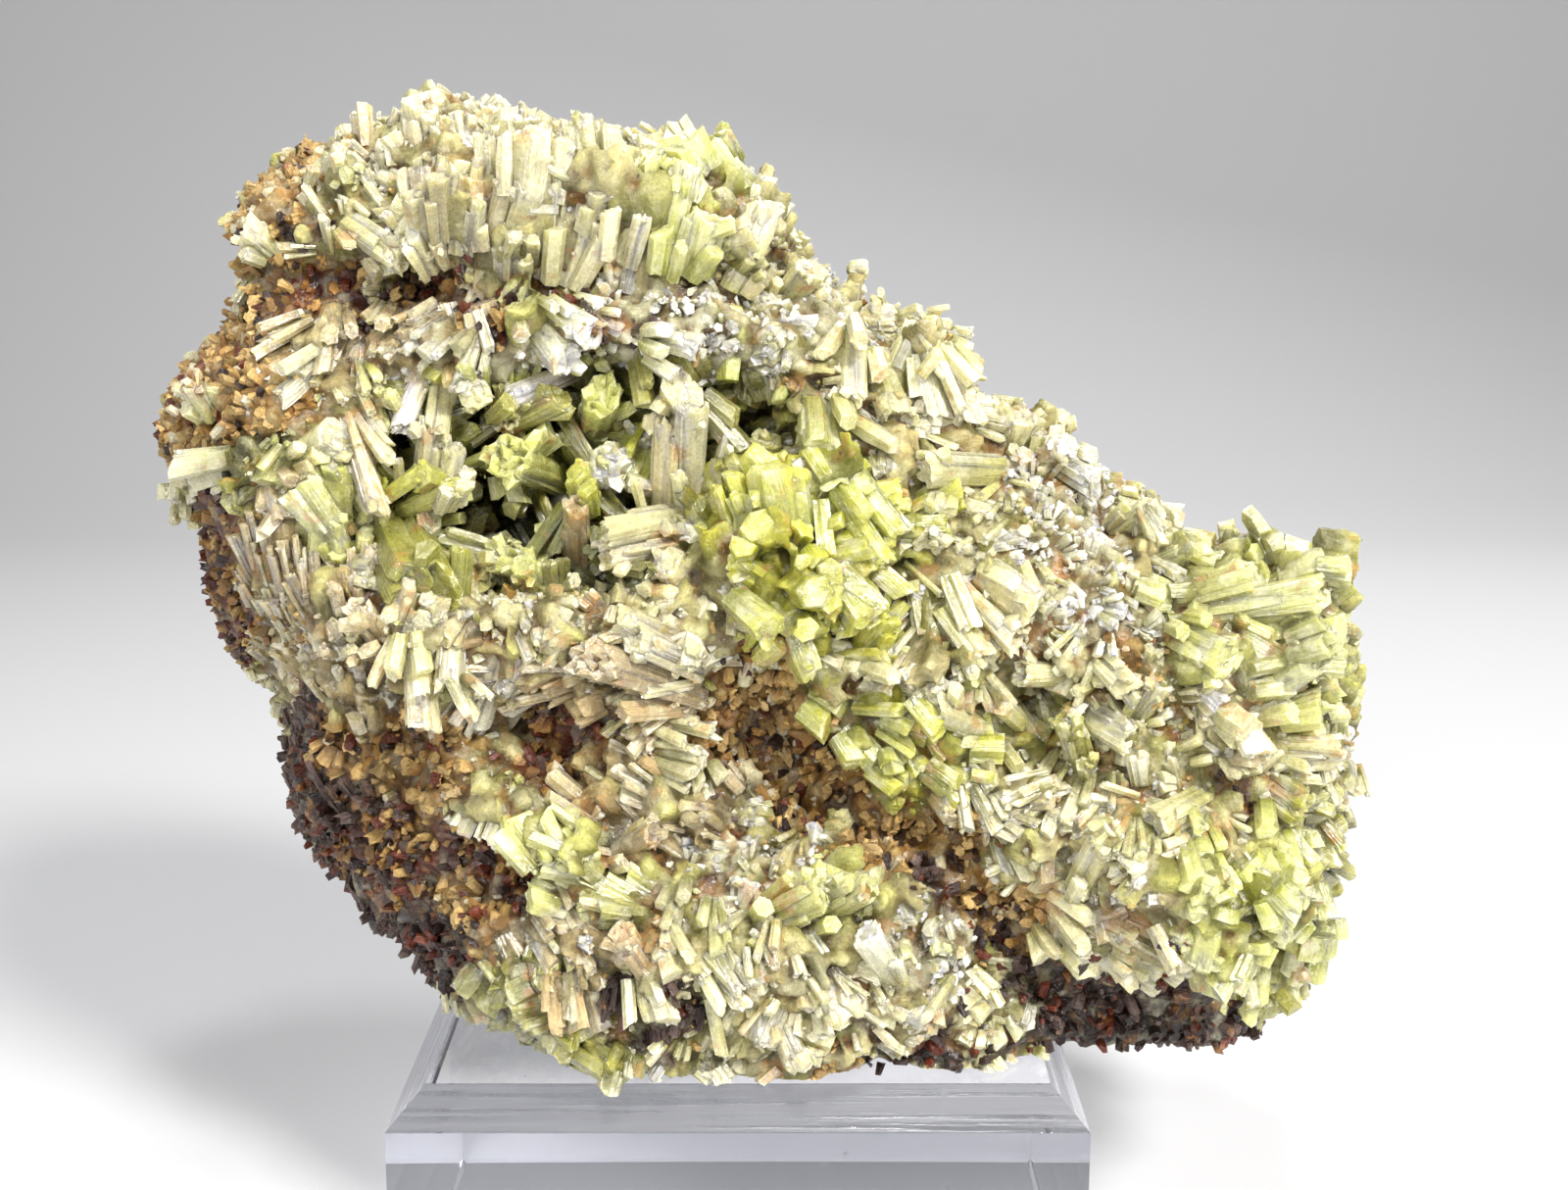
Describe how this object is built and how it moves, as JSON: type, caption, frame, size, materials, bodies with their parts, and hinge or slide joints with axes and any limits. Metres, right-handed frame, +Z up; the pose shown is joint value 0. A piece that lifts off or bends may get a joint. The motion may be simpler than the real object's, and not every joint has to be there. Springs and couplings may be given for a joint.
{
  "type": "pyromorphite specimen on a clear stand",
  "caption": "Cluster of pale yellow-green pyromorphite crystals on iron-stained matrix, with a crystal-lined hollow in its face, resting on a bevelled block of clear acrylic",
  "frame": {"origin": "centre of the acrylic block's underside", "axes": "+Z up, -Y out of the front face of the specimen, +X to the right as seen from the front, along its longest side"},
  "size_m": [0.1461, 0.0781, 0.1379],
  "materials": {
    "pyromorphite": "glossy pale yellow-green crystals with cream tips, on brown and ochre matrix",
    "vug_crystal": "glossy olive to yellow-green crystals with cream tips",
    "clear_acrylic": "clear polished acrylic with fine scratches"
  },
  "bodies": {
    "root": {"pyromorphite_specimen": "pyromorphite", "vug_crystals": "vug_crystal", "acrylic_block": "clear_acrylic"}
  },
  "joints": []
}
